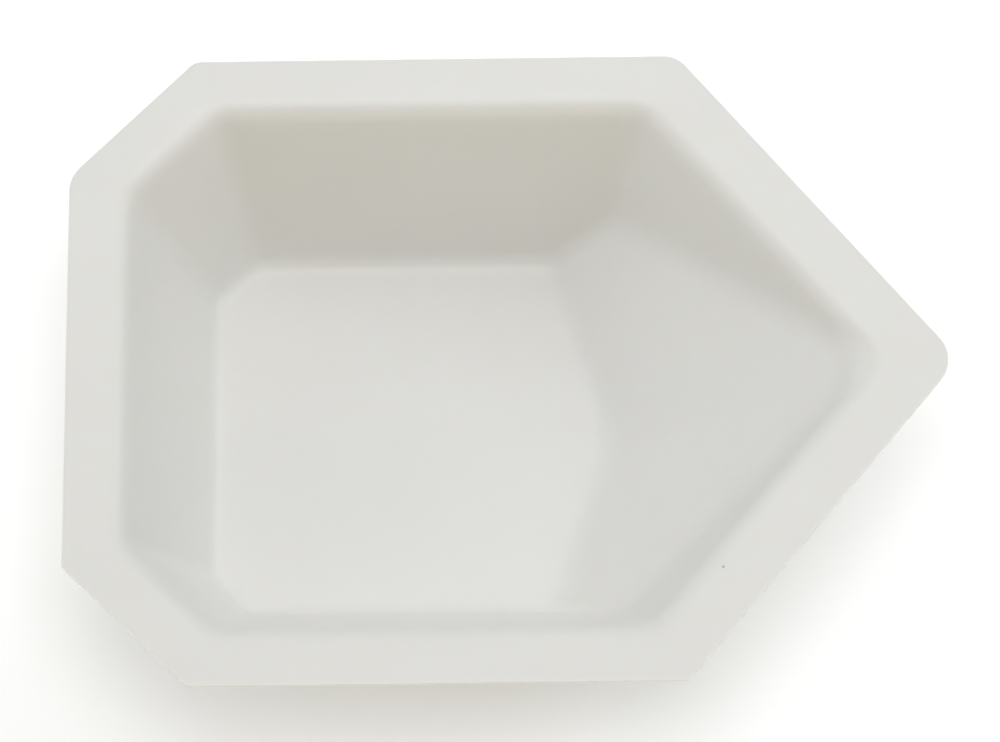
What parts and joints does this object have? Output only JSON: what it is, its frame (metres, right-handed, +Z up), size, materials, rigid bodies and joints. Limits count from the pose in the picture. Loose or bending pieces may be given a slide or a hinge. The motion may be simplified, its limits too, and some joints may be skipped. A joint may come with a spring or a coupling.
{
  "type": "weighing boat",
  "caption": "Shallow formed tray with a flat rim, leaning walls, a flat foot and a pointed pouring spout, for weighing and pouring small amounts.",
  "frame": {"origin": "middle of the bounding box in X and Y, on the plane of the foot's underside", "axes": "+X along the boat towards the spout, +Y to the side, +Z up out of the well"},
  "size_m": [0.087, 0.0666, 0.019],
  "materials": {
    "polystyrene_sheet": "satin, milky white formed sheet"
  },
  "bodies": {
    "root": {"boat": "polystyrene_sheet"}
  },
  "joints": []
}
